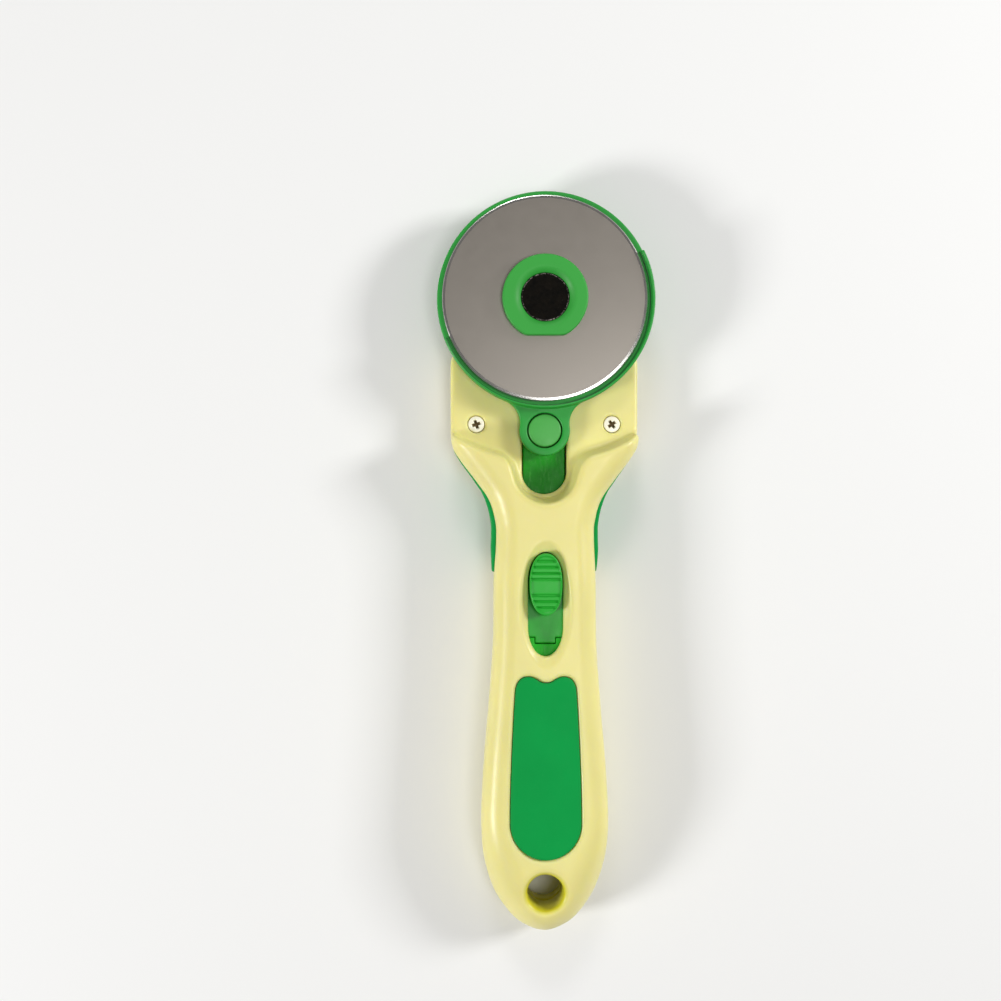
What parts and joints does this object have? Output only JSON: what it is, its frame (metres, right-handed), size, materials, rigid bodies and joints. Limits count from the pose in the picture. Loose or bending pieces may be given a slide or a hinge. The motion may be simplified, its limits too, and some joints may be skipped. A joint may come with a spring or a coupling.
{
  "type": "rotary cutter",
  "caption": "Hand-held rotary fabric cutter with a round blade, a sliding and swinging blade cover, a thumb knob and soft grip pads.",
  "frame": {"origin": "middle of the cutter's length and width, on the surface that its back lies on", "axes": "+Y along the handle towards the blade, +Z out of the blade's face, +X to the right of the thumb knob"},
  "size_m": [0.064, 0.2176, 0.023],
  "materials": {
    "yellow_plastic": "pale yellow moulded plastic with a satin sheen",
    "green_plastic": "green moulded plastic with a satin sheen",
    "green_rubber": "matt green soft rubber",
    "blade_steel": "fine ground steel with a bright bevel",
    "plated_steel": "bright nickel plate",
    "spring_steel": "drawn spring wire and strip",
    "ferrite": "sintered black ferrite"
  },
  "bodies": {
    "handle": {"front_shell": "yellow_plastic", "back_shell": "yellow_plastic", "front_grip_pad": "green_rubber", "back_grip_pad": "green_rubber", "left_finger_rest": "green_rubber", "right_finger_rest": "green_rubber", "head_screw_left": "plated_steel", "head_screw_right": "plated_steel", "detent_spring": "spring_steel", "axle_bolt": "plated_steel", "axle_nut": "plated_steel", "flat_washer": "plated_steel", "spring_washer": "spring_steel"},
    "slider": {"slide_bar": "green_plastic", "slide_knob": "green_plastic", "button_spring": "spring_steel"},
    "cover": {"blade_guard": "green_plastic"},
    "button": {"release_button": "green_plastic"},
    "cutter_blade": {"blade": "blade_steel"},
    "cap": {"hub_cap": "green_plastic", "magnet": "ferrite"}
  },
  "joints": [
    {"name": "cover_slide", "type": "slide", "parent": "handle", "child": "slider", "axis": [0, -1, 0], "range_m": [0, 0.0115]},
    {"name": "cover_swing", "type": "hinge", "parent": "slider", "child": "cover", "pos_m": [0, 0.03855, 0.0135], "axis": [0, 0, 1], "range_deg": [-9.1, 0]},
    {"name": "button_press", "type": "slide", "parent": "slider", "child": "button", "axis": [0, 0, -1], "range_m": [0, 0.0012], "stiffness_N_per_m": 400, "springref_m": -0.002, "deforming": ["button_spring"]},
    {"name": "blade_spin", "type": "hinge", "parent": "handle", "child": "cutter_blade", "pos_m": [0, 0.07715, 0.01575], "axis": [0, 0, 1], "continuous": true},
    {"name": "cap_lift", "type": "slide", "parent": "handle", "child": "cap", "axis": [0, 0, 1], "range_m": [0, 0.006]}
  ],
  "couplings": [
    {"joint": "cover_swing", "follows": "cover_slide", "rad_per_m": -13.659}
  ]
}
